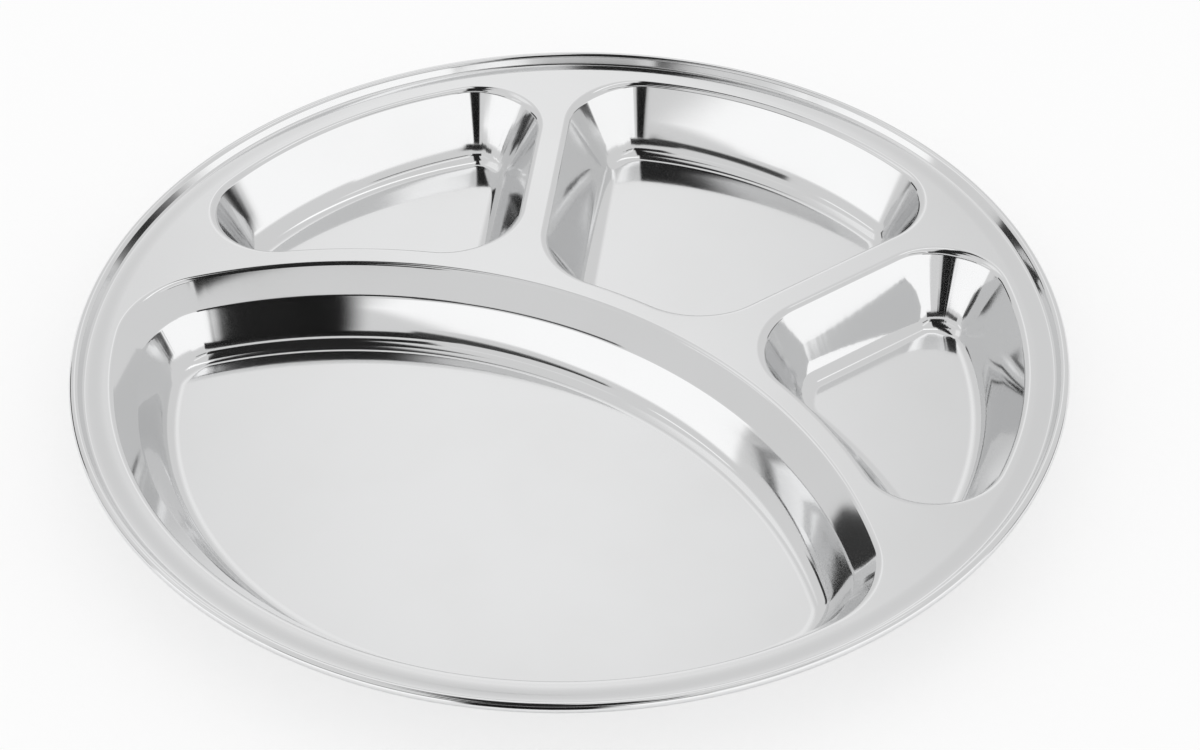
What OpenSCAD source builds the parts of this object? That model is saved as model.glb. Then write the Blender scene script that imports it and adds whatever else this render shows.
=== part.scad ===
// Divided serving plate pressed from one disc of polished sheet steel.
// A flat deck carries four drawn wells inside a rolled rim. The sheet is split
// along its forming lines, so every region is a solid of its own and neighbours
// meet face to face. The plate is symmetric about the plane x = 0, the main well
// lies towards -Y and the origin is at the centre of the face that it stands on.

/* [Plate] */
// Diameter over the rolled rim
plate_d = 330; // [310:1:380]
// Thickness of the sheet
sheet_t = 0.6; // [0.4:0.1:1.2]
// Depth of the wells below the deck
well_depth = 23; // [18:0.5:26]

/* [Rolled rim] */
// Outer diameter of the rolled bead
bead_d = 3.4; // [2.8:0.1:5]
// Height of the bead's centre above the foot of the rim wall
bead_rise = 1.5; // [1.2:0.1:6]
// Slope of the short rim wall
rim_angle = 60; // [50:1:75]
// Radius at the foot of the rim wall
rim_foot_r = 1.2; // [0.8:0.1:2.5]
// How far round the bead the sheet is rolled
curl_angle = 300; // [270:5:310]
// Width of the shallow gutter inside the rim
gutter_w = 5.6; // [4:0.1:7]
// Depth of the shallow gutter
gutter_drop = 0.3; // [0.1:0.05:0.8]

/* [Wells] */
// Narrowest flat land between the gutter and the lips of the wells
land_w = 1.7; // [1:0.1:4]
// Slope of the walls of the three smaller wells
wall_angle = 61; // [58:1:80]
// Slope of the upper part of the main well's wall
upper_angle = 48; // [44:1:60]
// Slope of its lower part
lower_angle = 62; // [60:1:80]
// Depth below the deck at which the main well's wall steepens
shoulder_drop = 8.3; // [6:0.1:10]
// Radius of the bend where it steepens
shoulder_r = 2.5; // [1:0.5:6]
// Radius of the lip where the deck turns down
lip_r = 2.5; // [2:0.1:4]
// Radius between wall and floor
floor_r = 5.5; // [3:0.1:7]

/* [Ridges] */
// Radius of the long curved ridge, to its middle
divider_r = 181; // [170:1:220]
// Where the curved ridge crosses the plate's axis
divider_y = 30; // [20:1:34]
// Flat width on top of the curved ridge
divider_w = 5.4; // [4:0.1:9]
// Angle between each straight ridge and the plate's axis
spoke_angle = 24; // [20:1:28]
// Where the middles of the straight ridges would cross the plate's axis
spoke_y = -51.5; // [-62:0.5:-45]
// Flat width on top of the straight ridges
spoke_w = 6.5; // [4:0.1:9]

/* [Corners at the lip] */
// Corners of the main well
main_corner_r = 33; // [26:1:40]
// Outer corners of the rear well
rear_outer_r = 26; // [20:1:30]
// Inner corners of the rear well
rear_inner_r = 30; // [20:1:34]
// Far corners of the side wells
side_far_r = 24; // [20:1:28]
// Inner corners of the side wells
side_inner_r = 28; // [20:1:32]
// Near corners of the side wells
side_near_r = 25; // [20:1:28]

/* [Hidden] */

deck_colour = [0.86, 0.87, 0.88];
wall_colour = [0.70, 0.72, 0.74];
floor_colour = [0.82, 0.83, 0.84];
rim_colour = [0.92, 0.93, 0.94];

// How far the flats may stray from a curve, in plan and in section
plan_error = 0.08;
section_error = 0.03;

// Heights of the upper faces
floor_z = sheet_t;
deck_z = floor_z + well_depth;

// Section of a small well: footprint of the wall and length of its straight part
bend_drop = (lip_r + floor_r) * (1 - cos(wall_angle));
wall_len = (well_depth - bend_drop) / sin(wall_angle);
wall_run = (lip_r + floor_r) * sin(wall_angle) + wall_len * cos(wall_angle);

// Section of the main well: straight parts above and below the shoulder, then its footprint
upper_len = (shoulder_drop - lip_r * (1 - cos(upper_angle))) / sin(upper_angle);
shoulder_x = (lip_r - shoulder_r) * sin(upper_angle) + upper_len * cos(upper_angle);
shoulder_z = deck_z - shoulder_drop - shoulder_r * cos(upper_angle);
shoulder_h = shoulder_z + shoulder_r * cos(lower_angle) - floor_z;
lower_len = (shoulder_h - floor_r * (1 - cos(lower_angle))) / sin(lower_angle);
main_run = shoulder_x + (shoulder_r + floor_r) * sin(lower_angle) + lower_len * cos(lower_angle);

// Section of the rim
plate_r = plate_d / 2;
bead_r = bead_d / 2;
bead_x = plate_r - bead_r;
gutter_z = deck_z - gutter_drop;
bead_z = gutter_z + bead_rise;
foot_x = bead_x - bead_r * sin(rim_angle)
    - (bead_z + bead_r * cos(rim_angle) - gutter_z - rim_foot_r * (1 - cos(rim_angle))) / tan(rim_angle)
    - rim_foot_r * sin(rim_angle);
deck_r = foot_x - gutter_w;
gutter_r = (gutter_w * gutter_w + gutter_drop * gutter_drop) / (4 * gutter_drop);
gutter_angle = 2 * atan(gutter_drop / gutter_w);

// Circles and lines that bound the wells
hub = [0, 0];
well_r = deck_r - land_w;
divider_c = [0, divider_y - divider_r];
divider_in = divider_r - divider_w / 2;
divider_out = divider_r + divider_w / 2;
spoke_n = [cos(spoke_angle), -sin(spoke_angle)];
spoke_k = spoke_n * [0, spoke_y];
rear_k = spoke_k - spoke_w / 2;
side_k = spoke_k + spoke_w / 2;

function heading(v) = atan2(v[1], v[0]);

// Number of flats that follow an arc closely enough
function flats(r, turn, error) = ceil(abs(turn) / (2 * acos(1 - error / r)));

// Points along an arc about c
function arc_points(c, r, from, to, error) =
    let (n = flats(r, to - from, error))
    [for (i = [0 : n]) let (a = from + (to - from) * i / n) c + r * [cos(a), sin(a)]];

// Right-hand one of the two points where circles about a and b cross, b lying below a
function cross_right(a, ra, b, rb) =
    let (d = norm(b - a), e = (b - a) / d, m = (ra * ra - rb * rb + d * d) / (2 * d))
    a + m * e + sqrt(ra * ra - m * m) * [-e[1], e[0]];

// Upper one of the two points where the line n * p = k crosses a circle about c
function cross_up(n, k, c, r) =
    let (m = k - n * c)
    c + m * n + sqrt(r * r - m * m) * [-n[1], n[0]];

// An outline is its arcs in counterclockwise order, each [centre, radius, from, to, side].
// The side is 1 where the well holds the arc's centre and -1 where it lies beyond the arc.
// Arcs that don't meet are joined by a straight line.
function main_outline() =
    let (c = cross_right(hub, well_r - main_corner_r, divider_c, divider_in - main_corner_r),
         l = [-c[0], c[1]], a = heading(c - hub), b = heading(c - divider_c))
    [[divider_c, divider_in, b, 180 - b, 1],
     [l, main_corner_r, 180 - b, 180 - a, 1],
     [hub, well_r, 180 - a, 360 + a, 1],
     [c, main_corner_r, a, b, 1]];

function rear_outline() =
    let (o = cross_up(spoke_n, rear_k - rear_outer_r, hub, well_r - rear_outer_r),
         i = cross_up(spoke_n, rear_k - rear_inner_r, divider_c, divider_out + rear_inner_r),
         a = heading(o - hub), b = heading(i - divider_c), s = spoke_angle)
    [[hub, well_r, a, 180 - a, 1],
     [[-o[0], o[1]], rear_outer_r, 180 - a, 180 + s, 1],
     [[-i[0], i[1]], rear_inner_r, 180 + s, 360 - b, 1],
     [divider_c, divider_out, 180 - b, b, -1],
     [i, rear_inner_r, 180 + b, 360 - s, 1],
     [o, rear_outer_r, -s, a, 1]];

function side_outline() =
    let (f = cross_up(spoke_n, side_k + side_far_r, hub, well_r - side_far_r),
         i = cross_up(spoke_n, side_k + side_inner_r, divider_c, divider_out + side_inner_r),
         n = cross_right(hub, well_r - side_near_r, divider_c, divider_out + side_near_r),
         a = heading(f - hub), b = heading(i - divider_c),
         c = heading(n - divider_c), d = heading(n - hub), s = spoke_angle)
    [[hub, well_r, d, a, 1],
     [f, side_far_r, a, 180 - s, 1],
     [i, side_inner_r, 180 - s, 180 + b, 1],
     [divider_c, divider_out, b, c, -1],
     [n, side_near_r, 180 + c, 360 + d, 1]];

// Place on an arc at angle a, as [point, direction in which the wall runs inwards]
function place(arc, a) = let (out = [cos(a), sin(a)]) [arc[0] + arc[1] * out, -arc[4] * out];

// Places along an outline. An arc leaves its last place to the next arc if that starts there.
function places(arcs) =
    [for (k = [0 : len(arcs) - 1])
        let (arc = arcs[k], next = arcs[(k + 1) % len(arcs)],
             gap = norm(place(next, next[2])[0] - place(arc, arc[3])[0]),
             n = flats(arc[1], arc[3] - arc[2], plan_error))
        for (i = [0 : gap > plan_error ? n : n - 1])
            place(arc, arc[2] + (arc[3] - arc[2]) * i / n)];

// Points of an outline that is moved inwards by w
function outline(arcs, w) = [for (p = places(arcs)) p[0] + w * p[1]];

// A bend of the sheet is [centre, radius of the upper face, from, to, side]. The side is 1
// where the centre lies below the sheet and -1 where it lies above it.
function lip_bend(angle) = [[0, deck_z - lip_r], lip_r, 90, 90 - angle, 1];
function foot_bend(run, angle) = [[run, floor_z + floor_r], floor_r, 270 - angle, 270, -1];

// Closed section of the sheet along its bends, with straight sheet between them
function sheet_section(bends) =
    concat([for (b = bends) each arc_points(b[0], b[1], b[2], b[3], section_error)],
           [for (i = [len(bends) - 1 : -1 : 0])
               let (b = bends[i])
               each arc_points(b[0], b[1] - b[4] * sheet_t, b[3], b[2], section_error)]);

// Sections of the well walls, as [distance inwards, height]
function small_section() = sheet_section([lip_bend(wall_angle), foot_bend(wall_run, wall_angle)]);

function main_section() =
    sheet_section([lip_bend(upper_angle),
                   [[shoulder_x, shoulder_z], shoulder_r, 90 - upper_angle, 90 - lower_angle, 1],
                   foot_bend(main_run, lower_angle)]);

// Section of the rim: shallow gutter, foot, short wall and open rolled bead
function rim_section() =
    let (bead_from = 90 + rim_angle)
    sheet_section([[[deck_r, deck_z - gutter_r], gutter_r, 90, 90 - gutter_angle, 1],
                   [[foot_x, gutter_z + gutter_r], gutter_r, 270 - gutter_angle, 270, -1],
                   [[foot_x, gutter_z + rim_foot_r], rim_foot_r, 270, 270 + rim_angle, -1],
                   [[bead_x, bead_z], bead_r, bead_from, bead_from - curl_angle, 1]]);

// Wall of a well: its section swept all the way round the outline
module well_wall(arcs, section) {
    along = places(arcs);
    rows = len(along);
    cols = len(section);
    points = [for (p = along) for (q = section) let (xy = p[0] + q[0] * p[1]) [xy[0], xy[1], q[1]]];
    faces = [for (i = [0 : rows - 1]) for (j = [0 : cols - 1])
        let (i2 = (i + 1) % rows, j2 = (j + 1) % cols)
        [i * cols + j, i2 * cols + j, i2 * cols + j2, i * cols + j2]];
    polyhedron(points = points, faces = faces);
}

module well_floor(arcs, run) {
    linear_extrude(height = sheet_t)
        polygon(outline(arcs, run));
}

module deck() {
    color(deck_colour)
        translate([0, 0, deck_z - sheet_t])
            linear_extrude(height = sheet_t)
                difference() {
                    circle(r = deck_r, $fn = 360);
                    polygon(outline(main_outline(), 0));
                    polygon(outline(rear_outline(), 0));
                    polygon(outline(side_outline(), 0));
                    mirror([1, 0])
                        polygon(outline(side_outline(), 0));
                }
}

module rolled_rim() {
    color(rim_colour)
        rotate_extrude($fn = 360)
            polygon(rim_section());
}

module main_well_wall() {
    color(wall_colour)
        well_wall(main_outline(), main_section());
}

module main_well_floor() {
    color(floor_colour)
        well_floor(main_outline(), main_run);
}

module rear_well_wall() {
    color(wall_colour)
        well_wall(rear_outline(), small_section());
}

module rear_well_floor() {
    color(floor_colour)
        well_floor(rear_outline(), wall_run);
}

module right_well_wall() {
    color(wall_colour)
        well_wall(side_outline(), small_section());
}

module right_well_floor() {
    color(floor_colour)
        well_floor(side_outline(), wall_run);
}

module left_well_wall() {
    mirror([1, 0, 0])
        right_well_wall();
}

module left_well_floor() {
    mirror([1, 0, 0])
        right_well_floor();
}

rolled_rim();
deck();
main_well_wall();
main_well_floor();
left_well_wall();
left_well_floor();
rear_well_wall();
rear_well_floor();
right_well_wall();
right_well_floor();
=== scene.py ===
import math
from collections import namedtuple

import bmesh
import bpy
from mathutils import Matrix, Vector

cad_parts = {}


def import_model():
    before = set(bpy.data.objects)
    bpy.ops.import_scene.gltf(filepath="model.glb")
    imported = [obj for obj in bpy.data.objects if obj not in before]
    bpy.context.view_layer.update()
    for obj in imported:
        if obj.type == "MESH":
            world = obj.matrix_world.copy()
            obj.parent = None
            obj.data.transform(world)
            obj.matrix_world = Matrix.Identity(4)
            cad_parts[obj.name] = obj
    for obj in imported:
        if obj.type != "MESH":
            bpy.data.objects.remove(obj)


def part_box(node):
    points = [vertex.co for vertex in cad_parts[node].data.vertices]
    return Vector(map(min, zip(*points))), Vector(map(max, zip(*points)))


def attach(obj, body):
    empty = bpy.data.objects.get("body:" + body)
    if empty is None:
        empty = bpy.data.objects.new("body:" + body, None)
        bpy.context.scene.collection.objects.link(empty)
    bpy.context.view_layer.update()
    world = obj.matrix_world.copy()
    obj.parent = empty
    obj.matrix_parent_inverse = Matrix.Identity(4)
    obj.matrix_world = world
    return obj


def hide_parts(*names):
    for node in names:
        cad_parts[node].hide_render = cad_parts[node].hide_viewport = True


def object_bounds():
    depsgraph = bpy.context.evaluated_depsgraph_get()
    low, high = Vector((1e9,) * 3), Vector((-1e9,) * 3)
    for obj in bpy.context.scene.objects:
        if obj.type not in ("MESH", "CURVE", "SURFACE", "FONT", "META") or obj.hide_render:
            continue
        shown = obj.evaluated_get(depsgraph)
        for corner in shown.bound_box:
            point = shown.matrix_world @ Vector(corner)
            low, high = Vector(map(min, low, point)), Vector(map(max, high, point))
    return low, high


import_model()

cad_low, cad_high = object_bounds()

MM = 0.001
HALF_TURN = math.pi
FULL_TURN = 2 * math.pi

# Sizes that the frame gives
deck_low, deck_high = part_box("deck")
PLATE_R = (cad_high.x - cad_low.x) / 2
DECK_R = (deck_high[0] - deck_low[0]) / 2
DECK_Z = deck_high[2]
SHEET_T = deck_high[2] - deck_low[2]
FLOOR_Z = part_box("main_well_floor")[1][2]
DEPTH = DECK_Z - FLOOR_Z

# Rolled rim: the bead and how high its middle stands over the gutter, the short rim wall and
# its foot, how far the sheet curls round the bead, and how deep the gutter is
BEAD_R = 1.7 * MM
BEAD_RISE = 1.5 * MM
RIM_ANGLE = math.radians(60)
RIM_FOOT_R = 1.2 * MM
CURL_ANGLE = math.radians(300)
GUTTER_DROP = 0.3 * MM

# Well walls: the flat land outside the lips, the bends at lip and foot, the angle of the small
# wells' walls, and the angles above and below the shoulder of the main well's wall
LAND_W = 1.7 * MM
LIP_R = 2.5 * MM
FOOT_R = 7 * MM
WALL_ANGLE = math.radians(61)
UPPER_ANGLE = math.radians(48)
LOWER_ANGLE = math.radians(60.5)
SHOULDER_DROP = 7.85 * MM
SHOULDER_R = 8 * MM

# Drawing in the press leaves the walls a little bellied, eases them into the foot, and rounds
# the corners more. Rounds of smoothing let that rounding run out along the sides.
BELLY_R = 140 * MM
BELLY = math.radians(2.5)
EASE_R = 35 * MM
EASE = math.radians(6)
CORNER_LIP_R = 4 * MM
CORNER_FOOT_R = 8 * MM
SPREAD_ROUNDS = 60

# Ridges between the wells: the curved one's circle, its highest place and its width, and the
# straight ones' angle, the place where their lines meet and their width
DIVIDER_R = 181 * MM
DIVIDER_Y = 30 * MM
DIVIDER_W = 5.4 * MM
SPOKE_ANGLE = math.radians(24)
SPOKE_Y = -51.5 * MM
SPOKE_W = 6.5 * MM

# Corners at the lip
MAIN_CORNER_R = 33 * MM
REAR_OUTER_R = 26 * MM
REAR_INNER_R = 30 * MM
SIDE_FAR_R = 24 * MM
SIDE_INNER_R = 28 * MM
SIDE_NEAR_R = 25 * MM

# Fineness of the mesh: steps round bends, corners and long arcs, the radius from which an arc
# is a long one, strips at the seams, how close counts as touching, and how sharp an edge shows
BEND_STEP = math.radians(4)
CORNER_STEP = math.radians(2.5)
LONG_STEP = math.radians(0.75)
LONG_R = 2 * MAIN_CORNER_R
SEAM_W = 0.3 * MM
TOUCHING = SEAM_W / 10
SHARP_EDGE = math.radians(40)
BEFORE_LIP = Vector((-SEAM_W, 0))

# Steel: its tones, grains to a metre, how marks stretch along the rolling direction, between
# which values a smear sets in, how far from lip and floor streaks are full, the roughness of
# the polish and what each kind of mark adds to it, and the heights of the marks
CLEAN_STEEL = (0.795, 0.798, 0.802, 1)
SMEARED_STEEL = (0.78, 0.782, 0.784, 1)
SMEAR_GRAINS = 22
MARK_GRAINS = 1600
STREAK_GRAINS = 330
RIPPLE_GRAINS = 38
ROLLED_STRETCH = (0.04, 1, 1)
SMEAR_SPAN = (0.42, 0.75)
STREAK_FADE = 3 * MM
POLISH_ROUGH = 0.045
SMEAR_ROUGH = 0.035
MARK_ROUGH = 0.03
STREAK_ROUGH = 0.05
RIPPLE_HEIGHT = 0.03 * MM
STREAK_HEIGHT = 0.12 * MM
MARK_HEIGHT = 0.0004 * MM

# Table: half its width, its tones, the grains of its tooth to a metre, its roughness and what
# the tooth adds, the height of the tooth, and its sheen
TABLE_HALF = 2
DARK_TABLE = (0.975, 0.975, 0.977, 1)
LIGHT_TABLE = (0.982, 0.982, 0.984, 1)
TOOTH_GRAINS = 700
TABLE_ROUGH = 0.85
TOOTH_ROUGH = 0.1
TOOTH_HEIGHT = 0.01 * MM
TABLE_SHEEN = 0.2

# Studio: the heading straight away from the camera, how bright the room is in the steel, how
# much it lifts the shadow and with what light, and half the side of a card before it is sized.
# A count of mirrorings under FIRST_ONLY is a first one.
AWAY = math.radians(121.3)
ROOM_GREY = 0.76
SHADOW_LIFT = 0.7
LIFT_LIGHT = 0.98
CARD_HALF = 0.5
FIRST_ONLY = 1.5

# Camera: where it stands, what it looks at, its roll, its lens and its sensor
CAMERA_AT = Vector((471.0, -754.9, 791.8)) * MM
CAMERA_TARGET = Vector((15.07, -5.37, 23.6)) * MM
CAMERA_ROLL = math.radians(-0.878)
LENS_MM = 106.35
SENSOR_MM = 36

# A bend turns the sheet to a new slope. Slopes are angles below the horizontal.
Bend = namedtuple("Bend", "radius slope")

# An arc is a stretch of a well's outline. The side is 1 where the well holds its centre.
Arc = namedtuple("Arc", "centre radius start end side")


def heading(v):
    """The angle at which a vector points in the plan."""
    return math.atan2(v.y, v.x)


def polar(centre, radius, angle):
    """The place at an angle on a circle."""
    return centre + radius * Vector((math.cos(angle), math.sin(angle)))


def mirrored(v):
    """The same place on the other side of the plate."""
    return Vector((-v.x, v.y))


def quarter_left(v):
    """The same length, a quarter turn to the left."""
    return Vector((-v.y, v.x))


def cross_right(a, ra, b, rb):
    """Right-hand crossing of circles about a and b, b lying below a."""
    apart = (b - a).length
    way = (b - a) / apart
    along = (ra * ra - rb * rb + apart * apart) / (2 * apart)
    return a + along * way + math.sqrt(ra * ra - along * along) * quarter_left(way)


def cross_up(n, k, c, r):
    """Upper crossing of the line n . p = k with a circle about c."""
    off = k - n.dot(c)
    return c + off * n + math.sqrt(r * r - off * off) * quarter_left(n)


# Circles and lines that bound the wells
HUB = Vector((0, 0))
WELL_R = DECK_R - LAND_W
DIVIDER_C = Vector((0, DIVIDER_Y - DIVIDER_R))
DIVIDER_IN = DIVIDER_R - DIVIDER_W / 2
DIVIDER_OUT = DIVIDER_R + DIVIDER_W / 2
SPOKE_N = Vector((math.cos(SPOKE_ANGLE), -math.sin(SPOKE_ANGLE)))
SPOKE_K = SPOKE_N.y * SPOKE_Y
REAR_K = SPOKE_K - SPOKE_W / 2
SIDE_K = SPOKE_K + SPOKE_W / 2


def main_outline():
    """The lens-shaped well in front: along the curved ridge, then round by the rim."""
    right = cross_right(HUB, WELL_R - MAIN_CORNER_R, DIVIDER_C, DIVIDER_IN - MAIN_CORNER_R)
    a = heading(right - HUB)
    b = heading(right - DIVIDER_C)
    return [
        Arc(DIVIDER_C, DIVIDER_IN, b, HALF_TURN - b, 1),
        Arc(mirrored(right), MAIN_CORNER_R, HALF_TURN - b, HALF_TURN - a, 1),
        Arc(HUB, WELL_R, HALF_TURN - a, FULL_TURN + a, 1),
        Arc(right, MAIN_CORNER_R, a, b, 1),
    ]


def rear_outline():
    """The middle well at the back: along the rim, then round by both straight ridges."""
    outer = cross_up(SPOKE_N, REAR_K - REAR_OUTER_R, HUB, WELL_R - REAR_OUTER_R)
    inner = cross_up(SPOKE_N, REAR_K - REAR_INNER_R, DIVIDER_C, DIVIDER_OUT + REAR_INNER_R)
    a = heading(outer - HUB)
    b = heading(inner - DIVIDER_C)
    s = SPOKE_ANGLE
    return [
        Arc(HUB, WELL_R, a, HALF_TURN - a, 1),
        Arc(mirrored(outer), REAR_OUTER_R, HALF_TURN - a, HALF_TURN + s, 1),
        Arc(mirrored(inner), REAR_INNER_R, HALF_TURN + s, FULL_TURN - b, 1),
        Arc(DIVIDER_C, DIVIDER_OUT, HALF_TURN - b, b, -1),
        Arc(inner, REAR_INNER_R, HALF_TURN + b, FULL_TURN - s, 1),
        Arc(outer, REAR_OUTER_R, -s, a, 1),
    ]


def side_outline():
    """The well at the right, which mirrored is the one at the left: along the rim, down the
    straight ridge and back along the curved one."""
    far = cross_up(SPOKE_N, SIDE_K + SIDE_FAR_R, HUB, WELL_R - SIDE_FAR_R)
    inner = cross_up(SPOKE_N, SIDE_K + SIDE_INNER_R, DIVIDER_C, DIVIDER_OUT + SIDE_INNER_R)
    near = cross_right(HUB, WELL_R - SIDE_NEAR_R, DIVIDER_C, DIVIDER_OUT + SIDE_NEAR_R)
    a = heading(far - HUB)
    b = heading(inner - DIVIDER_C)
    c = heading(near - DIVIDER_C)
    d = heading(near - HUB)
    s = SPOKE_ANGLE
    return [
        Arc(HUB, WELL_R, d, a, 1),
        Arc(far, SIDE_FAR_R, a, HALF_TURN - s, 1),
        Arc(inner, SIDE_INNER_R, HALF_TURN - s, HALF_TURN + b, 1),
        Arc(DIVIDER_C, DIVIDER_OUT, b, c, -1),
        Arc(near, SIDE_NEAR_R, HALF_TURN + c, FULL_TURN + d, 1),
    ]


def drop_of(bends, slope):
    """How far a run of bends drops from a slope on."""
    drop = 0
    for bend in bends:
        drop += bend.radius * abs(math.cos(slope) - math.cos(bend.slope))
        slope = bend.slope
    return drop


def section(stages):
    """Places down a section, as (distance inwards, drop). After the bends of a stage the
    sheet runs straight until it has dropped as far as the stage says."""
    at = Vector((0, 0))
    slope = 0
    places = [at]
    for bends, end in stages:
        for bend in bends:
            steps = math.ceil(abs(bend.slope - slope) / BEND_STEP)
            side = 1 if bend.slope > slope else -1
            for i in range(1, steps + 1):
                angle = slope + (bend.slope - slope) * i / steps
                across = math.sin(angle) - math.sin(slope)
                down = math.cos(slope) - math.cos(angle)
                places.append(at + side * bend.radius * Vector((across, down)))
            at = places[-1]
            slope = bend.slope
        if abs(end - at.y) > TOUCHING:
            at = Vector((at.x + (end - at.y) / math.tan(slope), end))
            places.append(at)
    return places


def foot_bends(angle, foot_r):
    """Belly, ease and foot under a wall of that angle."""
    return [Bend(BELLY_R, angle - BELLY), Bend(EASE_R, angle - BELLY - EASE), Bend(foot_r, 0)]


def small_section(lip_r, foot_r):
    """Section of a small well's wall."""
    lip = [Bend(lip_r, WALL_ANGLE)]
    foot = foot_bends(WALL_ANGLE, foot_r)
    return section([(lip, DEPTH - drop_of(foot, WALL_ANGLE)), (foot, DEPTH)])


def main_section(lip_r, foot_r):
    """Section of the main well's wall, which steepens at a shoulder."""
    lip = [Bend(lip_r, UPPER_ANGLE)]
    shoulder = [Bend(SHOULDER_R, LOWER_ANGLE)]
    foot = foot_bends(LOWER_ANGLE, foot_r)
    wall_end = DEPTH - drop_of(foot, LOWER_ANGLE)
    return section([(lip, SHOULDER_DROP), (shoulder, wall_end), (foot, DEPTH)])


def new_sheet_mesh():
    """An empty mesh whose corners can hold which way is inwards, where on the outline they
    started, and how much the sheet was drawn there."""
    bm = bmesh.new()
    bm.verts.layers.float_vector.new("inward")
    bm.verts.layers.float_vector.new("lip_at")
    bm.verts.layers.float.new("drawn")
    return bm


def draw_outline(bm, arcs):
    """A ring of edges along an outline, with what its corners hold."""
    inward = bm.verts.layers.float_vector["inward"]
    lip_at = bm.verts.layers.float_vector["lip_at"]
    drawn = bm.verts.layers.float["drawn"]
    for arc in arcs:
        long = arc.radius > LONG_R
        step = LONG_STEP if long else CORNER_STEP
        first = polar(arc.centre, arc.radius, arc.start)
        known = set(bm.verts)
        bmesh.ops.spin(
            bm, geom=[bm.verts.new(first.to_3d())], cent=arc.centre.to_3d(), axis=(0, 0, 1),
            angle=arc.end - arc.start, steps=math.ceil(abs(arc.end - arc.start) / step),
        )
        made = [v for v in bm.verts if v not in known]
        for v in made:
            out = (v.co - arc.centre.to_3d()).normalized()
            v[inward] = -arc.side * out
            v[lip_at] = v.co
            v[drawn] = 0 if long else math.sin(HALF_TURN * turn_share(arc, out)) ** 2
    bmesh.ops.remove_doubles(bm, verts=bm.verts, dist=TOUCHING)
    join_ends(bm)
    spread_drawn(bm)


def turn_share(arc, out):
    """How far along an arc a direction lies, from 0 to 1."""
    turned = (heading(out) - min(arc.start, arc.end)) % FULL_TURN
    return min(turned / abs(arc.end - arc.start), 1)


def join_ends(bm):
    """Straight stretches between the arcs of a ring that don't meet."""
    ends = [v for v in bm.verts if len(v.link_edges) == 1]
    while ends:
        v = ends.pop()
        mate = min(ends, key=lambda w: (w.co - v.co).length)
        ends.remove(mate)
        bm.edges.new((v, mate))


def spread_drawn(bm):
    """Lets the rounding at the corners run out along the sides of a ring."""
    drawn = bm.verts.layers.float["drawn"]
    for _ in range(SPREAD_ROUNDS):
        beside = {v: [e.other_vert(v)[drawn] for e in v.link_edges] for v in bm.verts}
        for v, (before, after) in beside.items():
            v[drawn] = v[drawn] / 2 + (before + after) / 4


def place_ring(bm, verts, plain, rounded):
    """Moves a ring to a place of the section, which is rounder where the sheet was drawn most."""
    inward = bm.verts.layers.float_vector["inward"]
    lip_at = bm.verts.layers.float_vector["lip_at"]
    drawn = bm.verts.layers.float["drawn"]
    for v in verts:
        place = plain.lerp(rounded, v[drawn])
        v.co = v[lip_at] + place.x * v[inward]
        v.co.z = DECK_Z - place.y


def draw_along(bm, plain, rounded):
    """Draws a ring of edges inwards and down, from one place of the section to the next."""
    edges = bm.edges[:]
    place_ring(bm, bm.verts, plain[0], rounded[0])
    for plain_place, rounded_place in zip(plain[1:], rounded[1:]):
        grown = bmesh.ops.extrude_edge_only(bm, edges=edges)["geom"]
        edges = [g for g in grown if isinstance(g, bmesh.types.BMEdge)]
        ring = [g for g in grown if isinstance(g, bmesh.types.BMVert)]
        place_ring(bm, ring, plain_place, rounded_place)


def fill_flat(bm):
    """Fills the space between the rings of edges of a mesh."""
    bmesh.ops.triangle_fill(bm, use_beauty=True, use_dissolve=False, edges=bm.edges)


def mirror_over(bm):
    """Moves a mesh to the other side of the plate's plane of symmetry."""
    lip_at = bm.verts.layers.float_vector["lip_at"]
    bmesh.ops.scale(bm, vec=(-1, 1, 1), verts=bm.verts)
    for v in bm.verts:
        v[lip_at] = v[lip_at] * Vector((-1, 1, 1))


def with_seams(places):
    """Adds a strip of the deck before a wall and one of the floor after it."""
    return [BEFORE_LIP] + places + [places[-1] + Vector((SEAM_W, 0))]


def add_object(name, bm, material):
    """Turns a mesh that was built up into an object of the scene."""
    mesh = bpy.data.meshes.new(name)
    bm.to_mesh(mesh)
    bm.free()
    mesh.materials.append(material)
    made = bpy.data.objects.new(name, mesh)
    bpy.context.collection.objects.link(made)
    return made


def face_up(bm):
    """Turns the faces of an open skin so that its upper side is its front."""
    bmesh.ops.recalc_face_normals(bm, faces=bm.faces)
    if sum(f.normal.z * f.calc_area() for f in bm.faces) < 0:
        bmesh.ops.reverse_faces(bm, faces=bm.faces)


def finish_sheet(bm, node, material):
    """Gives an open skin the sheet's thickness and puts it in the place of its node."""
    face_up(bm)
    bmesh.ops.solidify(bm, geom=bm.faces, thickness=SHEET_T)
    piece = add_object(node + "_sheet", bm, material)
    piece.data.shade_smooth()
    piece.data.set_sharp_from_angle(angle=SHARP_EDGE)
    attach(piece, "root")
    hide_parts(node)


def well_wall(node, arcs, sections, material, flip=False):
    """A wall: the ring along the lip, drawn inwards and down to the floor."""
    bm = new_sheet_mesh()
    draw_outline(bm, arcs)
    draw_along(bm, *map(with_seams, sections))
    if flip:
        mirror_over(bm)
    finish_sheet(bm, node, material)


def well_floor(node, arcs, sections, material, flip=False):
    """A floor: the ring at the end of the wall's section, filled."""
    bm = new_sheet_mesh()
    draw_outline(bm, arcs)
    place_ring(bm, bm.verts, *(with_seams(places)[-1] for places in sections))
    fill_flat(bm)
    if flip:
        mirror_over(bm)
    finish_sheet(bm, node, material)


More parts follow.
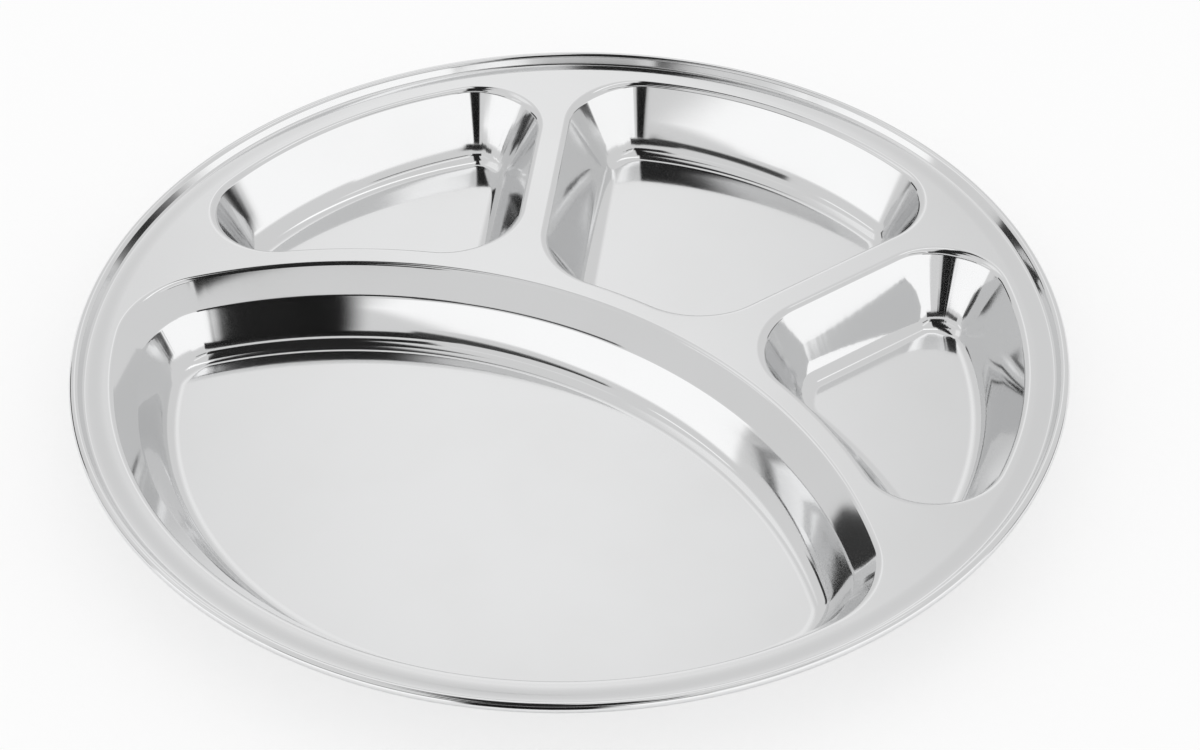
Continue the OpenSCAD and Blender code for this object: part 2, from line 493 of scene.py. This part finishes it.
def deck(material):
    """The flat top, filled between the rim and the lips of the wells."""
    bm = new_sheet_mesh()
    bmesh.ops.create_circle(bm, segments=round(FULL_TURN / LONG_STEP), radius=DECK_R - SEAM_W)
    wells = [
        (main_outline(), False),
        (rear_outline(), False),
        (side_outline(), False),
        (side_outline(), True),
    ]
    for arcs, flip in wells:
        hole = new_sheet_mesh()
        draw_outline(hole, arcs)
        place_ring(hole, hole.verts, BEFORE_LIP, BEFORE_LIP)
        if flip:
            mirror_over(hole)
        loop = bpy.data.meshes.new("hole")
        hole.to_mesh(loop)
        hole.free()
        bm.from_mesh(loop)
        bpy.data.meshes.remove(loop)
    for v in bm.verts:
        v.co.z = DECK_Z
    fill_flat(bm)
    finish_sheet(bm, "deck", material)


def rim_section():
    """Shallow gutter, foot and wall of the rim, and its rolled bead."""
    gutter_z = DECK_Z - GUTTER_DROP
    bead_x = PLATE_R - BEAD_R
    bead_z = gutter_z + BEAD_RISE
    climb = bead_z + BEAD_R * math.cos(RIM_ANGLE) - gutter_z
    straight = climb - RIM_FOOT_R * (1 - math.cos(RIM_ANGLE))
    foot_x = bead_x - (BEAD_R + RIM_FOOT_R) * math.sin(RIM_ANGLE) - straight / math.tan(RIM_ANGLE)
    gutter_w = foot_x - DECK_R
    gutter_r = (gutter_w ** 2 + GUTTER_DROP ** 2) / (4 * GUTTER_DROP)
    dip = 2 * math.atan(GUTTER_DROP / gutter_w)
    gutter = [Bend(gutter_r, dip), Bend(gutter_r, 0), Bend(RIM_FOOT_R, -RIM_ANGLE)]
    bead = [Bend(BEAD_R, CURL_ANGLE - RIM_ANGLE)]
    top = GUTTER_DROP - climb
    return section([(gutter, top), (bead, top + drop_of(bead, -RIM_ANGLE))])


def rolled_rim(material):
    """The rim: the deck's edge drawn outwards along the rim's section."""
    bm = new_sheet_mesh()
    draw_outline(bm, [Arc(HUB, DECK_R, 0, FULL_TURN, -1)])
    places = [BEFORE_LIP] + rim_section()
    draw_along(bm, places, places)
    finish_sheet(bm, "rolled_rim", material)


def node(tree, kind, feeds, **settings):
    """Adds a shader node. Its inputs are fed with plain values or with the outputs of others."""
    made = tree.nodes.new("ShaderNode" + kind)
    for setting, value in settings.items():
        setattr(made, setting, value)
    for socket, feed in feeds.items():
        if isinstance(feed, bpy.types.NodeSocket):
            tree.links.new(feed, made.inputs[socket])
        else:
            made.inputs[socket].default_value = feed
    return made


def times(tree, a, b):
    """The product of two values."""
    return node(tree, "Math", {0: a, 1: b}, operation="MULTIPLY").outputs[0]


def plus(tree, a, b):
    """The sum of two values."""
    return node(tree, "Math", {0: a, 1: b}, operation="ADD").outputs[0]


def ramp(tree, value, start, end):
    """Rises from 0 at the start value to 1 at the end value."""
    feeds = {"Value": value, "From Min": start, "From Max": end}
    return node(tree, "MapRange", feeds).outputs["Result"]


def grain(tree, place, fineness, detail=2):
    """Random tone over a surface, with that many grains to a metre."""
    feeds = {"Vector": place, "Scale": fineness, "Detail": detail}
    return node(tree, "TexNoise", feeds).outputs["Fac"]


def tone_between(tree, share, first, second):
    """A colour between two, by a share from 0 to 1. The node counts its colour inputs as 6
    and 7 and its colour output as 2."""
    return node(tree, "Mix", {0: share, 6: first, 7: second}, data_type="RGBA").outputs[2]


def new_material(name):
    """A material, its node tree and its plain shader."""
    material = bpy.data.materials.new(name)
    material.use_nodes = True
    return material, material.node_tree, material.node_tree.nodes["Principled BSDF"]


def show_mix(tree, share, first, second):
    """Makes the surface show one shader or the other, by a share from 0 to 1."""
    face = node(tree, "MixShader", {0: share, 1: first, 2: second})
    tree.links.new(face.outputs[0], tree.nodes["Material Output"].inputs["Surface"])


def polished_steel():
    """Bright stainless sheet: handling smears, fine rolling marks, slow ripples left by the
    press, and streaks down the walls where the corners were drawn."""
    material, tree, shader = new_material("polished_steel")
    place = node(tree, "TexCoord", {}).outputs["Object"]
    lip_at = node(tree, "Attribute", {}, attribute_name="lip_at").outputs["Vector"]
    drawn = node(tree, "Attribute", {}, attribute_name="drawn").outputs["Fac"]
    height = node(tree, "SeparateXYZ", {0: place}).outputs["Z"]
    below_lip = ramp(tree, height, DECK_Z, DECK_Z - STREAK_FADE)
    above_floor = ramp(tree, height, FLOOR_Z, FLOOR_Z + STREAK_FADE)
    stretched = times(tree, drawn, times(tree, below_lip, above_floor))

    smears = ramp(tree, grain(tree, place, SMEAR_GRAINS, detail=4), *SMEAR_SPAN)
    rolled_way = node(tree, "Mapping", {"Vector": place, "Scale": ROLLED_STRETCH}).outputs[0]
    marks = grain(tree, rolled_way, MARK_GRAINS, detail=3)
    streaks = grain(tree, lip_at, STREAK_GRAINS, detail=1)
    ripples = grain(tree, place, RIPPLE_GRAINS, detail=0)

    dull = plus(tree, times(tree, smears, SMEAR_ROUGH), times(tree, marks, MARK_ROUGH))
    dull = plus(tree, dull, times(tree, stretched, STREAK_ROUGH))
    tree.links.new(plus(tree, dull, POLISH_ROUGH), shader.inputs["Roughness"])
    tone = tone_between(tree, smears, CLEAN_STEEL, SMEARED_STEEL)
    tree.links.new(tone, shader.inputs["Base Color"])
    waved = node(tree, "Bump", {"Height": ripples, "Distance": RIPPLE_HEIGHT})
    lined = node(tree, "Bump", {
        "Height": streaks, "Distance": STREAK_HEIGHT, "Strength": stretched,
        "Normal": waved.outputs[0],
    })
    rolled = node(tree, "Bump", {
        "Height": marks, "Distance": MARK_HEIGHT, "Normal": lined.outputs[0],
    })
    tree.links.new(rolled.outputs[0], shader.inputs["Normal"])
    shader.inputs["Metallic"].default_value = 1
    return material


def aimed(way, axis, roll):
    """A turn that points an axis along a way, keeps upright, and then rolls about it."""
    level = way.to_track_quat(axis, "Y").to_matrix().to_4x4()
    return level @ Matrix.Rotation(roll, 4, "Z")


def camera():
    """Stands where the photograph was taken from."""
    data = bpy.data.cameras.new("camera")
    data.lens = LENS_MM
    data.sensor_width = SENSOR_MM
    eye = bpy.data.objects.new("camera", data)
    facing = aimed(CAMERA_TARGET - CAMERA_AT, "-Z", CAMERA_ROLL)
    eye.matrix_world = Matrix.Translation(CAMERA_AT) @ facing
    bpy.context.collection.objects.link(eye)
    bpy.context.scene.camera = eye


def fade_in(tree, coordinate, width, soft):
    """Rises from 0 at both edges of a card to 1 further in."""
    edge = node(tree, "Math", {0: coordinate, 1: 0.5}, operation="PINGPONG").outputs[0]
    feeds = {"Value": edge, "From Max": soft / width}
    return node(tree, "MapRange", feeds, interpolation_type="SMOOTHSTEP").outputs["Result"]


def card_face(name, width, height, light, soft, once):
    """A plain grey, white or black face whose edges fade out. Where it shows once, steel that
    is mirrored in steel doesn't show it again."""
    material, tree, shader = new_material(name)
    tree.nodes.remove(shader)
    axes = node(tree, "SeparateXYZ", {0: node(tree, "UVMap", {}).outputs[0]})
    across = fade_in(tree, axes.outputs["X"], width, soft)
    upright = fade_in(tree, axes.outputs["Y"], height, soft)
    cover = times(tree, across, upright)
    if once:
        mirrorings = node(tree, "LightPath", {}).outputs["Glossy Depth"]
        first = node(tree, "Math", {0: mirrorings, 1: FIRST_ONLY}, operation="LESS_THAN")
        cover = times(tree, cover, first.outputs[0])
    clear = node(tree, "BsdfTransparent", {})
    shine = node(tree, "Emission", {"Strength": light})
    show_mix(tree, cover, clear.outputs[0], shine.outputs[0])
    return material


def card(name, turn, rise, distance, width, height, lean, light, soft, once=False):
    """A card of the studio, which only the steel sees. It faces the plate from a turn about
    the plate's axis, counted clockwise from straight behind the plate, and a rise over the
    table. Turn, rise and lean are in degrees, and the soft edge counts in metres."""
    turn = AWAY - math.radians(turn)
    rise = math.radians(rise)
    flat = math.cos(rise)
    look = Vector((flat * math.cos(turn), flat * math.sin(turn), math.sin(rise)))
    facing = aimed(look, "Z", math.radians(lean))
    size = Matrix.Diagonal((width, height, 1, 1))
    shape = Matrix.Translation(distance * look) @ facing @ size
    bm = bmesh.new()
    bm.loops.layers.uv.new("UVMap")
    bmesh.ops.create_grid(
        bm, x_segments=1, y_segments=1, size=CARD_HALF, matrix=shape, calc_uvs=True,
    )
    sheet = add_object(name, bm, card_face(name, width, height, light, soft, once))
    sheet.visible_camera = False
    sheet.visible_diffuse = False
    sheet.visible_shadow = False


def studio_cards():
    """White sheets round the plate, lights over them, a pale backdrop behind the plate, and
    what is dark: the gap between sheets and lights, the ends of the room, the boom over the
    plate and the camera's stand. Each card says its turn, rise, distance, width, height, lean,
    light and soft edge."""
    card("backdrop", -2.8, 28, 2.63, 1.45, 3.0, 0, 0.97, 0.7)
    card("fill_left", 306, 52, 2.5, 1.6, 1.1, 0, 0.95, 0.35)
    card("white_right", 107, 9, 2.4, 2.1, 1.2, -18, 1.16, 0.12)
    card("white_back_right", 146, 13, 2.41, 2.2, 1.6, 0, 1.16, 0.12)
    card("white_back_left", 210, 8.5, 2.42, 2.6, 1.3, -4, 1.18, 0.1)
    card("white_left", 246, 8, 2.43, 2.1, 1.2, 9, 1.18, 0.12)
    card("high_side", 268, 37, 2.3, 0.8, 0.26, 0, 1.15, 0.1)
    card("high_left", 229, 58, 2.2, 1.7, 0.16, -5, 1.15, 0.15)
    card("high_right", 124, 61, 2.2, 1.4, 0.34, 0, 1.15, 0.2)
    card("front_light", 37, 70, 2.3, 1.35, 0.36, 37, 1.3, 0.12)
    card("gap_back", 181.5, 34.5, 1.9, 1.8, 0.31, 0, 0.02, 0.05)
    card("gap_left", 222, 31, 1.9, 1.3, 0.25, 0, 0.05, 0.06)
    card("gap_right", 133, 51, 1.9, 0.8, 0.2, 0, 0.15, 0.07)
    card("dark_right", 75.5, 7.4, 1.7, 1.2, 0.36, -8, 0.03, 0.17)
    card("dark_low_left", 281, 1, 1.7, 0.9, 0.3, 0, 0.05, 0.12)
    card("dark_left", 303, 5.4, 1.6, 0.59, 0.6, 0, 0.04, 0.05)
    card("boom_back", 184, 57.5, 1.4, 0.92, 0.42, 0, 0.02, 0.04, once=True)
    card("boom", 196, 78.2, 1.36, 0.58, 0.9, 27, 0.02, 0.08, once=True)
    card("boom_end", 339.5, 76, 2.2, 0.4, 1.44, -20.5, 0.02, 0.08)
    card("camera_stand", 186.5, 17, 0.42, 0.205, 0.34, 0, 0.01, 0.035)


def ground():
    """A white table with a fine tooth. The room lifts the plate's shadow on it."""
    bm = bmesh.new()
    bmesh.ops.create_grid(bm, x_segments=1, y_segments=1, size=TABLE_HALF)
    material, tree, shader = new_material("white_table")
    tooth = grain(tree, node(tree, "TexCoord", {}).outputs["Object"], TOOTH_GRAINS)
    tone = tone_between(tree, tooth, DARK_TABLE, LIGHT_TABLE)
    tree.links.new(tone, shader.inputs["Base Color"])
    rough = plus(tree, times(tree, tooth, TOOTH_ROUGH), TABLE_ROUGH)
    tree.links.new(rough, shader.inputs["Roughness"])
    toothed = node(tree, "Bump", {"Height": tooth, "Distance": TOOTH_HEIGHT})
    tree.links.new(toothed.outputs[0], shader.inputs["Normal"])
    shader.inputs["Specular IOR Level"].default_value = TABLE_SHEEN
    lift = node(tree, "Emission", {"Strength": LIFT_LIGHT})
    seen = node(tree, "LightPath", {}).outputs["Is Camera Ray"]
    show_mix(tree, times(tree, seen, SHADOW_LIFT), shader.outputs[0], lift.outputs[0])
    add_object("ground", bm, material)


def world():
    """White all round, but a plain grey room where the steel reflects it."""
    light = bpy.data.worlds.new("studio")
    bpy.context.scene.world = light
    light.use_nodes = True
    tree = light.node_tree
    in_steel = node(tree, "LightPath", {}).outputs["Is Glossy Ray"]
    strength = node(tree, "MapRange", {"Value": in_steel, "To Min": 1, "To Max": ROOM_GREY})
    tree.links.new(strength.outputs["Result"], tree.nodes["Background"].inputs["Strength"])
    tree.nodes["Background"].inputs["Color"].default_value = (1, 1, 1, 1)


camera()
steel = polished_steel()
small = small_section(LIP_R, FOOT_R), small_section(CORNER_LIP_R, CORNER_FOOT_R)
main = main_section(LIP_R, FOOT_R), main_section(CORNER_LIP_R, CORNER_FOOT_R)
rolled_rim(steel)
deck(steel)
well_wall("main_well_wall", main_outline(), main, steel)
well_floor("main_well_floor", main_outline(), main, steel)
well_wall("rear_well_wall", rear_outline(), small, steel)
well_floor("rear_well_floor", rear_outline(), small, steel)
for side, flip in (("right", False), ("left", True)):
    well_wall(side + "_well_wall", side_outline(), small, steel, flip)
    well_floor(side + "_well_floor", side_outline(), small, steel, flip)
ground()
world()
studio_cards()
bpy.context.scene.view_settings.view_transform = "Standard"
